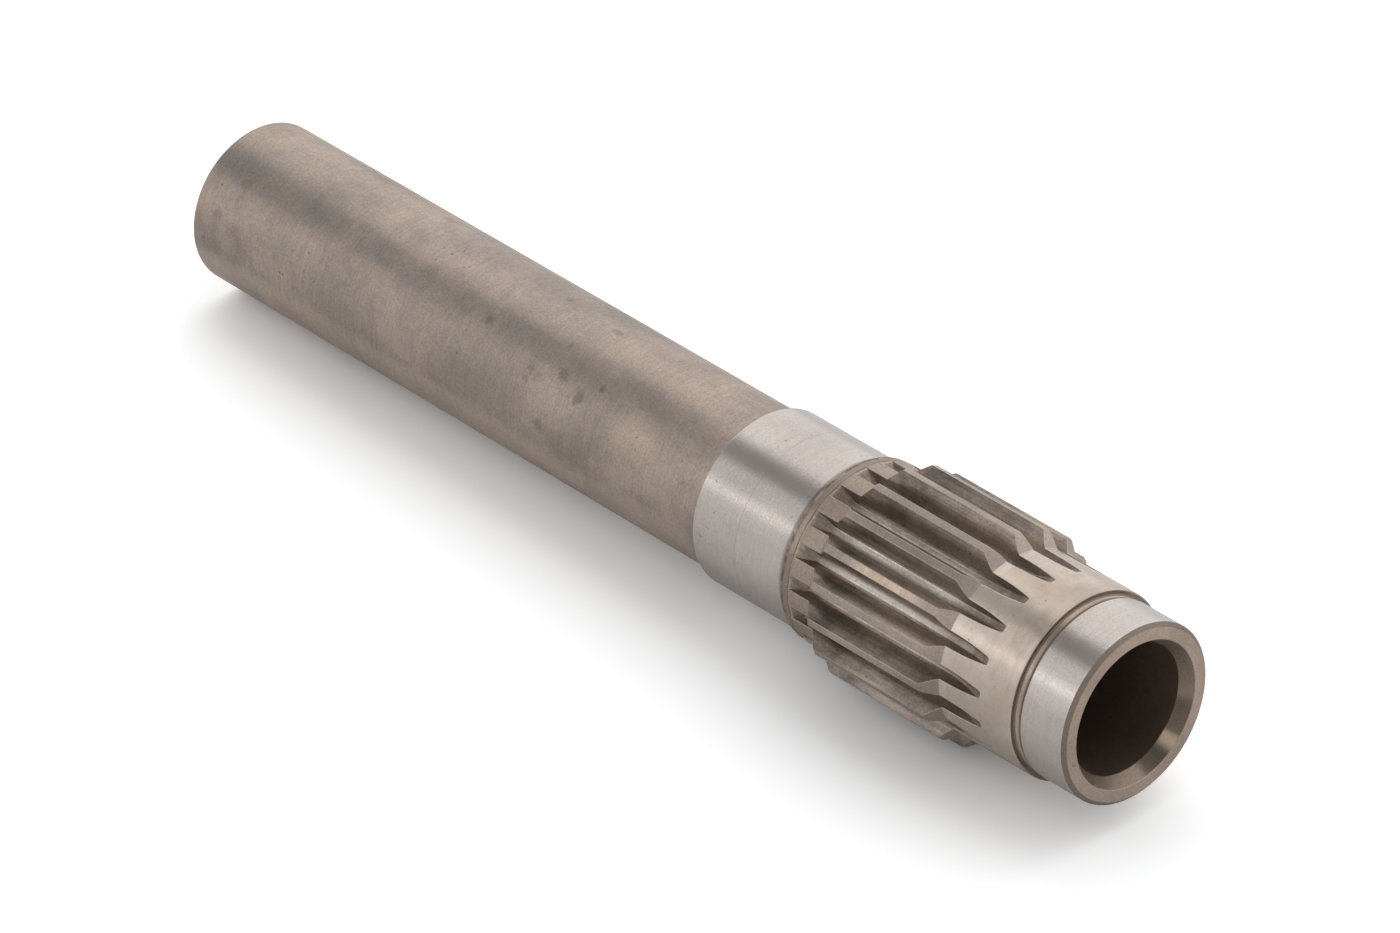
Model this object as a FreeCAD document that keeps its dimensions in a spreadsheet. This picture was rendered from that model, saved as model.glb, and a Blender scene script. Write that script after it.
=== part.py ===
"""Hollow gear shaft, turned, toothed and ground from one piece of steel, in millimetres.

The shaft lies along X with its gear end towards +X and the origin on its axis
at half its length. A tooth space is centred above and below the axis. Stations
are measured along the axis from the front end face back towards the shank.
"""
import FreeCAD
import Part

import os

import Sketcher

NODE = "gear_shaft"

# Driving sizes: alias, value, what it sets
SIZES = (
    ("overall_length", 342.0, "front end face to rear end face"),
    ("front_seat_diameter", 50.0, "ground bearing seat at the gear end"),
    ("front_seat_length", 15.27, "front end face to the front relief groove"),
    ("seat_bevel_length", 1.0, "lead-in bevel of the front seat, along the shaft"),
    ("seat_bevel_depth", 1.2, "lead-in bevel of the front seat, across the shaft"),
    ("front_relief_width", 2.55, "relief groove between the front seat and the barrel wall"),
    ("front_relief_depth", 0.7, "floor of the front relief groove below the seat"),
    ("blank_diameter", 52.5, "plain barrel before the gear and lands of the neck behind it"),
    ("barrel_bevel", 0.3, "broken edge of the barrel at the relief groove"),
    ("barrel_length", 25.52, "barrel wall to the foot of the front tooth bevels"),
    ("gear_module", 3.0, "module of the gear"),
    ("tooth_count", 18.0, "teeth of the gear"),
    ("pressure_angle", 20.0, "pressure angle of the gear, degrees"),
    ("dedendum_factor", 1.25, "depth of a tooth space below the pitch circle, in modules"),
    ("floor_width", 1.95, "flat floor of a tooth space"),
    ("tooth_bevel_angle", 45.0, "slope of the bevels at both tooth ends, degrees"),
    ("tip_length", 40.8, "tooth tips between their end bevels"),
    ("neck_length", 7.94, "foot of the rear tooth bevels to the collar"),
    ("collar_diameter", 52.1, "turned collar behind the neck"),
    ("collar_width", 2.75, "neck to the shoulder face of the main seat"),
    ("main_seat_diameter", 50.0, "ground bearing seat behind the gear"),
    ("main_seat_length", 34.8, "shoulder face to the rear end of the main seat"),
    ("main_relief_width", 1.3, "relief groove at the foot of the shoulder face"),
    ("main_relief_depth", 0.25, "floor of the relief groove below the main seat"),
    ("main_seat_bevel", 0.3, "broken rear edge of the main seat"),
    ("shank_diameter", 46.5, "plain shank behind the main seat"),
    ("shank_bevel", 0.8, "broken outer edge at the rear end"),
    ("bore_diameter", 36.6, "bore right through the shaft"),
    ("mouth_diameter", 41.0, "wide end of the centring cone at each end face"),
    ("mouth_angle", 30.0, "slope of the centring cones against the axis, degrees"),
    ("front_cutter_radius", 42.0, "arc on which the cutter climbs out in front of the teeth"),
    ("front_cutter_stop", 1.16, "foot of the front bevels to the end of the full depth"),
    ("rear_ramp_length", 5.4, "end of the full depth to the square end of a tooth space"),
    ("rear_end_step", 0.07, "top of the ramp below the edges of the tooth space"),
    ("rear_rim_width", 0.18, "square ends of the tooth spaces to the collar"),
    ("ramp_overlap", 0.1, "how far the ramp reaches into the metal round it"),
)

# How far a sweep turns past the point where it leaves the metal, degrees
SWEEP_MARGIN = 6.0
# Least part of a straight cut of equal length that the run-out takes away and the ramp fills
RUN_OUT_SHARE = 0.4
RAMP_SHARE = 0.25
# How near two drawn points are the same, and by how much the spaces may differ in volume
SAME_POINT = 1e-4
SPACE_ROUNDING = 1.0

# Radii
TIP_RADIUS = "(sizes.gear_module * (sizes.tooth_count / 2 + 1))"
PITCH_RADIUS = "(sizes.gear_module * sizes.tooth_count / 2)"
ROOT_RADIUS = f"({PITCH_RADIUS} - sizes.dedendum_factor * sizes.gear_module)"
PRESSURE_ANGLE = "(sizes.pressure_angle * 1deg)"
BASE_RADIUS = f"({PITCH_RADIUS} * cos({PRESSURE_ANGLE}))"
BASE_HALF_ANGLE = f"(90deg / sizes.tooth_count - tan({PRESSURE_ANGLE}) * 180deg / pi + {PRESSURE_ANGLE})"
BLANK_RADIUS = "(sizes.blank_diameter / 2)"
FRONT_SEAT_RADIUS = "(sizes.front_seat_diameter / 2)"
MAIN_SEAT_RADIUS = "(sizes.main_seat_diameter / 2)"
COLLAR_RADIUS = "(sizes.collar_diameter / 2)"
SHANK_RADIUS = "(sizes.shank_diameter / 2)"
BORE_RADIUS = "(sizes.bore_diameter / 2)"
MOUTH_RADIUS = "(sizes.mouth_diameter / 2)"
SPACE_DEPTH = f"({BLANK_RADIUS} - {ROOT_RADIUS})"

# Stations along the axis
TOOTH_BEVEL_RUN = f"(({TIP_RADIUS} - {BLANK_RADIUS}) / tan(sizes.tooth_bevel_angle * 1deg))"
MOUTH_DEPTH = f"(({MOUTH_RADIUS} - {BORE_RADIUS}) / tan(sizes.mouth_angle * 1deg))"
BARREL_START = "(sizes.front_seat_length + sizes.front_relief_width)"
GEAR_START = f"({BARREL_START} + sizes.barrel_length)"
TIP_START = f"({GEAR_START} + {TOOTH_BEVEL_RUN})"
TIP_END = f"({TIP_START} + sizes.tip_length)"
GEAR_END = f"({TIP_END} + {TOOTH_BEVEL_RUN})"
COLLAR_START = f"({GEAR_END} + sizes.neck_length)"
COLLAR_END = f"({COLLAR_START} + sizes.collar_width)"
SEAT_END = f"({COLLAR_END} + sizes.main_seat_length)"
SHAFT_END = "(sizes.overall_length)"
FULL_DEPTH_START = f"({GEAR_START} + sizes.front_cutter_stop)"
SPACE_END = f"({COLLAR_START} - sizes.rear_rim_width)"
FULL_DEPTH_END = f"({SPACE_END} - sizes.rear_ramp_length)"
RAMP_BACK = f"({SPACE_END} + sizes.ramp_overlap)"


def fill_sheet(document):
    """Writes the driving sizes into a spreadsheet, one aliased cell each."""
    sheet = document.addObject("Spreadsheet::Sheet", "sizes")
    for row, (alias, amount, meaning) in enumerate(SIZES, start=1):
        sheet.set(f"A{row}", meaning)
        sheet.set(f"B{row}", str(amount))
        sheet.setAlias(f"B{row}", alias)
    document.recompute()
    return sheet


def evaluate(sheet, expression):
    """Works out an expression of driving sizes as a plain number."""
    result = sheet.evalExpression(str(expression))
    return float(getattr(result, "Value", result))


def origin_feature(body, role):
    """Finds the body's own origin plane or axis with the given role."""
    return next(item for item in body.Origin.OriginFeatures if item.Role == role)


def new_sketch(body, name, role):
    """Adds a sketch that lies on one of the body's origin planes."""
    sketch = body.newObject("Sketcher::SketchObject", name)
    sketch.AttachmentSupport = (origin_feature(body, role), [""])
    sketch.MapMode = "FlatFace"
    return sketch


def along(station):
    """Turns a station into the X coordinate of the centred shaft."""
    return f"(sizes.overall_length / 2 - {station})"


def polar(radius, angle):
    """Gives the two coordinates of a point across the shaft, its angle taken from +Z."""
    return f"({radius} * sin({angle}))", f"({radius} * cos({angle}))"


def mirrored(point):
    """Gives the coordinates of a point on the other side of the tooth space."""
    return f"(-{point[0]})", point[1]


def place(sketch, geometry, vertex, point):
    """Ties a vertex of the sketch to the expressions of its two coordinates."""
    for kind, expression in zip(("DistanceX", "DistanceY"), point):
        now = sketch.getPoint(geometry, vertex)
        amount = now.x if kind == "DistanceX" else now.y
        row = sketch.addConstraint(Sketcher.Constraint(kind, -1, 1, geometry, vertex, amount))
        sketch.setExpression(f"Constraints[{row}]", expression)


def closed_outline(sketch, sheet, sides):
    """Draws a closed outline whose corners and arcs follow the driving sizes.

    Each side is a pair: the corner where it starts, and either None for a
    straight side or one more point that its arc passes through.
    """
    def vector(point):
        return FreeCAD.Vector(evaluate(sheet, point[0]), evaluate(sheet, point[1]), 0)

    starts = [vector(corner) for corner, _ in sides]
    ends = starts[1:] + starts[:1]
    edges = []
    for (_, through), start, end in zip(sides, starts, ends):
        if through is None:
            curve = Part.LineSegment(start, end)
        else:
            curve = Part.Arc(start, vector(through), end)
        edge = sketch.addGeometry(curve, False)
        runs_forward = sketch.getPoint(edge, 1).distanceToPoint(start) < SAME_POINT
        edges.append((edge, 1, 2) if runs_forward else (edge, 2, 1))
    for place_in_row, (edge, first, _) in enumerate(edges):
        previous, _, last = edges[place_in_row - 1]
        corner, through = sides[place_in_row]
        sketch.addConstraint(Sketcher.Constraint("Coincident", previous, last, edge, first))
        place(sketch, edge, first, corner)
        if through is not None:
            mark = sketch.addGeometry(Part.Point(vector(through)), True)
            place(sketch, mark, 1, through)
            sketch.addConstraint(Sketcher.Constraint("PointOnObject", mark, 1, edge))


def draw_half_section(sketch, sheet):
    """Draws the half section of the turned blank, from the front mouth round to the bore."""
    front_floor = (along("(sizes.front_seat_length + sizes.front_relief_width / 2)"),
                   f"({FRONT_SEAT_RADIUS} - sizes.front_relief_depth)")
    corners = (
        ("0", MOUTH_RADIUS, None),
        ("0", f"({FRONT_SEAT_RADIUS} - sizes.seat_bevel_depth)", None),
        ("sizes.seat_bevel_length", FRONT_SEAT_RADIUS, None),
        ("sizes.front_seat_length", FRONT_SEAT_RADIUS, front_floor),
        (BARREL_START, FRONT_SEAT_RADIUS, None),
        (BARREL_START, f"({BLANK_RADIUS} - sizes.barrel_bevel)", None),
        (f"({BARREL_START} + sizes.barrel_bevel)", BLANK_RADIUS, None),
        (GEAR_START, BLANK_RADIUS, None),
        (TIP_START, TIP_RADIUS, None),
        (TIP_END, TIP_RADIUS, None),
        (GEAR_END, BLANK_RADIUS, None),
        (COLLAR_START, BLANK_RADIUS, None),
        (COLLAR_START, COLLAR_RADIUS, None),
        (COLLAR_END, COLLAR_RADIUS, None),
        (COLLAR_END, f"({MAIN_SEAT_RADIUS} - sizes.main_relief_depth)", None),
        (f"({COLLAR_END} + sizes.main_relief_width - sizes.main_relief_depth)",
         f"({MAIN_SEAT_RADIUS} - sizes.main_relief_depth)", None),
        (f"({COLLAR_END} + sizes.main_relief_width)", MAIN_SEAT_RADIUS, None),
        (f"({SEAT_END} - sizes.main_seat_bevel)", MAIN_SEAT_RADIUS, None),
        (SEAT_END, f"({MAIN_SEAT_RADIUS} - sizes.main_seat_bevel)", None),
        (SEAT_END, SHANK_RADIUS, None),
        (f"({SHAFT_END} - sizes.shank_bevel)", SHANK_RADIUS, None),
        (SHAFT_END, f"({SHANK_RADIUS} - sizes.shank_bevel)", None),
        (SHAFT_END, MOUTH_RADIUS, None),
        (f"({SHAFT_END} - {MOUTH_DEPTH})", BORE_RADIUS, None),
        (MOUTH_DEPTH, BORE_RADIUS, None),
    )
    sides = [((along(station), radius), through) for station, radius, through in corners]
    closed_outline(sketch, sheet, sides)


def half_space_angle(radius):
    """Gives half the angle that a tooth space takes up on a circle of the given radius."""
    turn = f"acos({BASE_RADIUS} / {radius})"
    return f"({BASE_HALF_ANGLE} + tan({turn}) * 180deg / pi - {turn})"


def flank(*radii):
    """Gives the corners of a flank, drawn in arcs through the involute's own points."""
    sides = []
    for start, end in zip(radii, radii[1:]):
        middle = f"(({start} + {end}) / 2)"
        sides.append((polar(start, half_space_angle(start)), polar(middle, half_space_angle(middle))))
    sides.append((polar(radii[-1], half_space_angle(radii[-1])), None))
    return sides


def draw_tooth_space(sketch, sheet):
    """Draws one tooth space across the shaft, its outline closed above the tooth tips.

    The floor is a flat on the root circle. From its ends straight sides rise to the
    base circle, where the two flanks begin.
    """
    over_tip = f"({TIP_RADIUS} + sizes.gear_module / 10)"
    outside = polar(f"({TIP_RADIUS} + sizes.gear_module / 2)", half_space_angle(over_tip))
    right = [
        (("sizes.floor_width / 2", ROOT_RADIUS), None),
        *flank(BASE_RADIUS, PITCH_RADIUS, over_tip),
        (outside, None),
    ]
    sides = list(right)
    for (corner, _), (_, through) in zip(right[:0:-1], right[-2::-1]):
        sides.append((mirrored(corner), mirrored(through) if through else None))
    sides.append((mirrored(right[0][0]), None))
    closed_outline(sketch, sheet, sides)


def add_guide_line(sketch, sheet, ends):
    """Adds a construction line between two points, for a cut to turn about."""
    vectors = [FreeCAD.Vector(evaluate(sheet, one), evaluate(sheet, two), 0) for one, two in ends]
    line = sketch.addGeometry(Part.LineSegment(*vectors), True)
    for vertex, point in zip((1, 2), ends):
        place(sketch, line, vertex, point)


def draw_ramp_section(sketch, sheet):
    """Draws the ramp from the side, rising from the root to just under the blank."""
    top = f"({BLANK_RADIUS} * cos({half_space_angle(BLANK_RADIUS)}) - sizes.rear_end_step)"
    below = f"({ROOT_RADIUS} - sizes.ramp_overlap)"
    corners = (
        (FULL_DEPTH_END, ROOT_RADIUS),
        (SPACE_END, top),
        (RAMP_BACK, top),
        (RAMP_BACK, below),
        (FULL_DEPTH_END, below),
    )
    closed_outline(sketch, sheet, [((along(station), level), None) for station, level in corners])


def cut_front_run_out(body, profile):
    """Carries the tooth space up and out of the metal on the cutter's arc."""
    groove = body.newObject("PartDesign::Groove", "front_run_out")
    groove.Profile = profile
    groove.ReferenceAxis = (profile, ["Axis0"])
    groove.Reversed = True
    climb = f"acos(1 - {SPACE_DEPTH} / sizes.front_cutter_radius)"
    groove.setExpression("Angle", f"{climb} + {SWEEP_MARGIN}deg")
    return groove


def fill_rear_ramp(body, section):
    """Fills the rear end of the tooth space with a ramp as wide as the space at the blank."""
    ramp = body.newObject("PartDesign::Pad", "rear_ramp")
    ramp.Profile = section
    ramp.Type = "Length"
    ramp.Midplane = True
    half_width = f"{BLANK_RADIUS} * sin({half_space_angle(BLANK_RADIUS)}) + sizes.ramp_overlap"
    ramp.setExpression("Length", f"2 * ({half_width})")
    return ramp


def cut_area(sheet, profile, radius):
    """Measures how much of a tooth space's outline lies inside a circle round the axis."""
    centre = FreeCAD.Vector(evaluate(sheet, along(FULL_DEPTH_START)), 0, 0)
    rim = Part.makeCircle(evaluate(sheet, radius), centre, FreeCAD.Vector(1, 0, 0))
    return Part.Face(profile.Shape).common(Part.Face(Part.Wire(rim))).Area


def require_volume(feature, found, least, most):
    """Stops the build when the metal that a feature took away or added is out of bounds."""
    if not least <= found <= most:
        raise RuntimeError(f"{feature.Label}: {found:.2f} mm3 is outside {least:.2f} to {most:.2f}")


def require_sound(document, body):
    """Stops the build when any object failed or the shaft is not one valid solid."""
    for item in document.Objects:
        if "Invalid" in item.State or "Error" in item.State:
            raise RuntimeError(f"{item.Label} failed: {item.State}")
    shape = body.Shape
    if shape.isNull() or not shape.isValid() or len(shape.Solids) != 1:
        raise RuntimeError(f"{body.Label} is not one valid solid")


def build_shaft(document, sheet):
    """Turns the blank, cuts one tooth space with its run-out and ramp, and repeats it."""
    body = document.addObject("PartDesign::Body", NODE)
    body.Label = NODE
    body.Placement = FreeCAD.Placement()
    shaft_axis = (origin_feature(body, "X_Axis"), [""])

    section = new_sketch(body, "half_section", "XZ_Plane")
    draw_half_section(section, sheet)
    blank = body.newObject("PartDesign::Revolution", "turned_blank")
    blank.Profile = section
    blank.ReferenceAxis = shaft_axis
    blank.Angle = 360
    document.recompute()

    profile = new_sketch(body, "space_across", "YZ_Plane")
    profile.setExpression("AttachmentOffset.Base.z", along(FULL_DEPTH_START))
    draw_tooth_space(profile, sheet)
    cutter_axis = f"({ROOT_RADIUS} + sizes.front_cutter_radius)"
    add_guide_line(
        profile, sheet, ((f"(-{PITCH_RADIUS})", cutter_axis), (PITCH_RADIUS, cutter_axis)))
    ramp_section = new_sketch(body, "ramp_along", "XZ_Plane")
    draw_ramp_section(ramp_section, sheet)
    document.recompute()
    tip_area = cut_area(sheet, profile, TIP_RADIUS)
    blank_area = cut_area(sheet, profile, BLANK_RADIUS)

    space = body.newObject("PartDesign::Pocket", "tooth_space")
    space.Profile = profile
    space.Type = "Length"
    space.setExpression("Length", f"{SPACE_END} - {FULL_DEPTH_START}")
    document.recompute()
    length = evaluate(sheet, f"{SPACE_END} - {FULL_DEPTH_START}")
    require_volume(space, blank.Shape.Volume - space.Shape.Volume,
                   blank_area * length, tip_area * length)

    run_out = cut_front_run_out(body, profile)
    document.recompute()
    tail = evaluate(sheet, f"sqrt({SPACE_DEPTH} * (2 * sizes.front_cutter_radius - {SPACE_DEPTH}))")
    require_volume(run_out, space.Shape.Volume - run_out.Shape.Volume,
                   blank_area * tail * RUN_OUT_SHARE, tip_area * tail)

    ramp = fill_rear_ramp(body, ramp_section)
    document.recompute()
    ramp_volume = ramp.Shape.Volume - run_out.Shape.Volume
    ramp_length = evaluate(sheet, "sizes.rear_ramp_length")
    require_volume(ramp, ramp_volume, blank_area * ramp_length * RAMP_SHARE, blank_area * ramp_length)

    teeth = body.newObject("PartDesign::PolarPattern", "teeth")
    teeth.Originals = [space, run_out, ramp]
    teeth.Axis = shaft_axis
    teeth.Angle = 360
    teeth.setExpression("Occurrences", "sizes.tooth_count")
    body.Tip = teeth
    document.recompute()
    one_space = blank.Shape.Volume - ramp.Shape.Volume
    others = one_space * (evaluate(sheet, "sizes.tooth_count") - 1)
    require_volume(teeth, ramp.Shape.Volume - teeth.Shape.Volume,
                   others - SPACE_ROUNDING, others + SPACE_ROUNDING)
    return body


def main():
    """Builds the shaft and writes its solid."""
    os.makedirs("parts", exist_ok=True)
    document = FreeCAD.newDocument("gear_shaft_model")
    sheet = fill_sheet(document)
    body = build_shaft(document, sheet)
    document.recompute()
    require_sound(document, body)
    body.Shape.exportStep(f"parts/{body.Label}.step")
    print(f"{body.Label}: volume {body.Shape.Volume:.1f} mm3, {len(body.Shape.Faces)} faces")


main()
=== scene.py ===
"""A hollow gear shaft dressed for a studio photograph.

The shaft lies along X with its gear end towards +X. Sizes are in millimetres and
stations run along the axis from the front end face back towards the shank, as they
would on the shop drawing. Meshes are made in metres.
"""

import logging
import math
from dataclasses import dataclass, field
from enum import Enum

import bmesh
import bpy
import numpy as np
from mathutils import Matrix, Vector

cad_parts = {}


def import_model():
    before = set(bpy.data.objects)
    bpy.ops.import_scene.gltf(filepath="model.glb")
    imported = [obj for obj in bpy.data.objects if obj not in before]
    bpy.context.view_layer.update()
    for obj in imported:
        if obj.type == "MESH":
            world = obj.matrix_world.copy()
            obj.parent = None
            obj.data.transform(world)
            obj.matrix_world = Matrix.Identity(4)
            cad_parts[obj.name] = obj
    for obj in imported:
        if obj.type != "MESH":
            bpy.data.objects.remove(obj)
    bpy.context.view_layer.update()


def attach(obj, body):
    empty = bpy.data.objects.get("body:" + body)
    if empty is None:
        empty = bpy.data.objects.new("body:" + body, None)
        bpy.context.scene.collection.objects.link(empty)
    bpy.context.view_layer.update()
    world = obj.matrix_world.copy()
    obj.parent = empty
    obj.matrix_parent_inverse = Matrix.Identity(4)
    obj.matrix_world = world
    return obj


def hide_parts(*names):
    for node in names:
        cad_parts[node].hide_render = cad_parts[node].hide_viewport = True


LOG = logging.getLogger("gear_shaft")
MM = 0.001
NODE = "gear_shaft"
BODY = "root"
Tone = tuple[float, float, float, float]

# A rounded corner: the most of a side that it takes, its points, and where its support points lie.
# Each corner adds six steps to an outline, three on either side of its middle.
MOST_OF_SIDE = 0.3
INNER_SHARES = (0.35, 0.65)
SUPPORT_REACH = 1.6
STEPS_PER_SIDE = 3


class Finish(Enum):
    """The finishes that the shaft's surfaces carry, in the order of its material slots."""

    STAINED = 0
    GROUND = 1
    TOOTH_SPACE = 2
    FACED = 3
    BORED = 4
    TURNED = 5


def on_corner(start: np.ndarray, corner: np.ndarray, end: np.ndarray, share: float) -> np.ndarray:
    """Gives a point of the curve that rounds a corner.

    Args:
        start: where the curve leaves the first side.
        corner: the sharp corner.
        end: where the curve meets the second side.
        share: how far along the curve the point lies, 0 to 1.

    Returns:
        The point.
    """
    return (1 - share) ** 2 * start + 2 * share * (1 - share) * corner + share ** 2 * end


def rounded_chain(corners: list[tuple[float, float]], reach: float) -> list[tuple[float, float]]:
    """Rounds the corners of an open outline and adds support points beside them.

    Args:
        corners: points of the outline as station and radius.
        reach: how far each corner is cut back along its two sides.

    Returns:
        The points of the rounded outline, its first and last left as they are.
    """
    points = [np.array(corner, float) for corner in corners]
    chain = [points[0]]
    for before, corner, after in zip(points, points[1:], points[2:]):
        back, on = before - corner, after - corner
        cut = min(reach, MOST_OF_SIDE * np.linalg.norm(back), MOST_OF_SIDE * np.linalg.norm(on))
        back, on = back / np.linalg.norm(back), on / np.linalg.norm(on)
        start, end = corner + back * cut, corner + on * cut
        chain.append(corner + back * cut * SUPPORT_REACH)
        for share in (0.0, *INNER_SHARES, 1.0):
            chain.append(on_corner(start, corner, end, share))
        chain.append(corner + on * cut * SUPPORT_REACH)
    chain.append(points[-1])
    return [tuple(point) for point in chain]


@dataclass(frozen=True)
class ShaftSizes:
    """Sizes that the turned parts and the toothed part share, in millimetres."""

    length: float = 342.0
    blank_radius: float = 26.25
    front_seat_radius: float = 25.0
    main_seat_radius: float = 25.0
    collar_radius: float = 26.05
    shank_radius: float = 23.25
    bore_radius: float = 18.3
    mouth_radius: float = 20.5
    mouth_depth: float = 3.811
    barrel_start: float = 17.82
    gear_start: float = 43.34
    tip_start: float = 47.09
    tip_end: float = 87.89
    gear_end: float = 91.64
    collar_start: float = 99.58
    collar_end: float = 102.33
    seat_end: float = 137.13
    edge_round: float = 0.14

    def x(self, station: float) -> float:
        """Gives the X coordinate of a station, in metres."""
        return (self.length / 2 - station) * MM


@dataclass(frozen=True)
class SpaceProfile:
    """Half the outline of a tooth space, from the middle of its floor outwards."""

    points: np.ndarray
    lengths: np.ndarray
    corner_end: float
    foot: float


@dataclass
class ToothedSection:
    """The gear with its run-outs, from the plain barrel in front to the collar behind."""

    sizes: ShaftSizes = field(default_factory=ShaftSizes)

    # The gear and its cutter
    module: float = 3.0
    teeth: int = 18
    pressure_angle: float = 20.0
    dedendum: float = 1.25
    floor_width: float = 1.95
    floor_corner: float = 0.5
    tip_ease: float = 0.004
    front_cutter_radius: float = 42.0
    front_full_depth: float = 44.5
    rear_full_depth: float = 94.0
    space_end: float = 99.4
    rear_end_step: float = 0.07
    wall_lean: float = 0.03

    # Half a ring's points, from the middle of the space to the middle of the tooth
    least_edge: float = 0.92
    floor_shares: tuple[float, ...] = (0.0, 0.4, 0.688, 0.77, 0.85, 0.93, 1.0)
    side_columns: int = 3
    flank_columns: int = 5
    land_columns: int = 5
    profile_overrun: float = 1.2
    side_share: float = 0.68
    floor_limit_front: float = 0.85
    floor_limit_rear: float = 0.97
    edge_of_depth: float = 0.3
    edge_of_length: float = 0.2
    edge_support: float = 1.8
    land_support: float = 0.8
    land_gap: float = 0.0006
    crease_step: float = 1e-6

    # Where the rings lie
    front_station: float = 27.6
    tail_steps: tuple[float, ...] = (0.04, 0.1, 0.2, 0.35, 0.6, 0.9, 1.3, 1.9, 2.7, 3.7, 4.9, 6.3, 7.9,
                                     9.7, 11.7)
    ramp_stations: tuple[float, ...] = (95.6, 97.2, 98.6)
    corner_steps: tuple[float, ...] = (-1.6, -1.0, -0.3, 0.3, 0.8, 1.3)
    bevel_shares: tuple[float, ...] = (0.2, 0.4, 0.6, 0.8)
    tip_stations: int = 6
    before_tail: float = 0.4
    beside_ramp: float = 0.2
    before_end: float = 0.15
    least_gap: float = 0.02

    # Which edges are worn, and how near points must lie to be welded, in metres
    wear_depth: float = 0.15
    wear_columns: float = 1.2
    weld: float = 2e-6

    @property
    def root_radius(self) -> float:
        """Radius of the flat floor of a tooth space at its middle."""
        return self.module * (self.teeth / 2 - self.dedendum)

    @property
    def tip_radius(self) -> float:
        """Radius of the tooth tips."""
        return self.module * (self.teeth / 2 + 1)

    @property
    def base_radius(self) -> float:
        """Radius of the circle from which the involute unrolls."""
        return self.module * self.teeth / 2 * math.cos(math.radians(self.pressure_angle))

    @property
    def base_half_angle(self) -> float:
        """Half the angle of a tooth space at the base circle, in radians."""
        alpha = math.radians(self.pressure_angle)
        return self.half_pitch / 2 - (math.tan(alpha) - alpha)

    @property
    def half_pitch(self) -> float:
        """Half the angle from tooth to tooth, in radians."""
        return math.pi / self.teeth

    @property
    def inside_columns(self) -> int:
        """Columns of half a ring that lie inside the tooth space."""
        return len(self.floor_shares) + self.side_columns + self.flank_columns + 1

    def space_profile(self) -> SpaceProfile:
        """Draws half a tooth space: flat floor, rounded corner, straight side and involute.

        Returns:
            The outline with its running length, and where its corner and its flank begin.
        """
        base, beta = self.base_radius, self.base_half_angle
        foot = np.array([base * math.sin(beta), base * math.cos(beta)])
        corner = np.array([self.floor_width / 2, self.root_radius])
        side = foot - corner
        turn = math.atan2(side[1], side[0])
        reach = self.floor_corner * math.tan(turn / 2)
        turns = np.linspace(0, turn, 9)
        arc = np.stack([corner[0] - reach + self.floor_corner * np.sin(turns),
                        corner[1] + self.floor_corner * (1 - np.cos(turns))], 1)
        radius = np.linspace(base, self.tip_radius + self.profile_overrun, 500)
        roll = np.arccos(np.clip(base / radius, -1, 1))
        angle = beta + np.tan(roll) - roll
        flank = np.stack([radius * np.sin(angle), radius * np.cos(angle)], 1)
        straight = foot + (arc[-1] - foot) * np.linspace(1, 0, 60)[1:-1, None]
        floor = np.stack([np.linspace(0, arc[0, 0], 30)[:-1], np.full(29, self.root_radius)], 1)
        points = np.concatenate([floor, arc, straight, flank])
        lengths = np.concatenate([[0], np.cumsum(np.hypot(*np.diff(points, axis=0).T))])
        after_corner = len(floor) + len(arc)
        corner_end, flank_start = lengths[after_corner - 1], lengths[after_corner + len(straight)]
        return SpaceProfile(points, lengths, float(corner_end), float(flank_start))

    def outer_radius(self, station: float) -> float:
        """Radius of the turned blank at a station, its corners rounded.

        Args:
            station: where along the shaft, in millimetres.

        Returns:
            The radius in millimetres.
        """
        size = self.sizes
        tip = self.tip_radius - self.tip_ease
        corners = [(0.0, size.blank_radius), (size.gear_start, size.blank_radius), (size.tip_start, tip),
                   (size.tip_end, tip), (size.gear_end, size.blank_radius), (size.length, size.blank_radius)]
        knots = rounded_chain(corners, size.edge_round)
        return float(np.interp(station, [knot[0] for knot in knots], [knot[1] for knot in knots]))

    def raised(self, points: np.ndarray, station: float) -> np.ndarray:
        """Lifts the outline where the cutter climbs out in front or the floor rises behind.

        Args:
            points: the half outline at full depth, across and up.
            station: where along the shaft the outline is wanted.

        Returns:
            The lifted points.
        """
        up = points[:, 1]
        if station < self.front_full_depth:
            axis = self.root_radius + self.front_cutter_radius
            along = self.front_full_depth - station
            up = axis - np.sqrt(np.maximum((axis - up) ** 2 - along ** 2, 0))
        return np.stack([points[:, 0], np.maximum(up, self.ramp_level(station))], 1)

    def ramp_level(self, station: float) -> float:
        """Gives the floor's level on the ramp, which is the root's level in front of it."""
        share = max(station - self.rear_full_depth, 0.0) / (self.space_end - self.rear_full_depth)
        return self.root_radius + min(share, 1.0) * (self.ramp_top - self.root_radius)

    @property
    def ramp_top(self) -> float:
        """Level of the ramp at the square end of a tooth space.

        Returns:
            The level above the axis, in millimetres.
        """
        roll = math.acos(self.base_radius / self.sizes.blank_radius)
        half = self.base_half_angle + math.tan(roll) - roll
        return self.sizes.blank_radius * math.cos(half) - self.rear_end_step

    @property
    def front_tail(self) -> float:
        """Length over which the front cutter climbs from the root to the blank."""
        depth = self.sizes.blank_radius - self.root_radius
        return math.sqrt(2 * self.front_cutter_radius * depth - depth ** 2)

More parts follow.
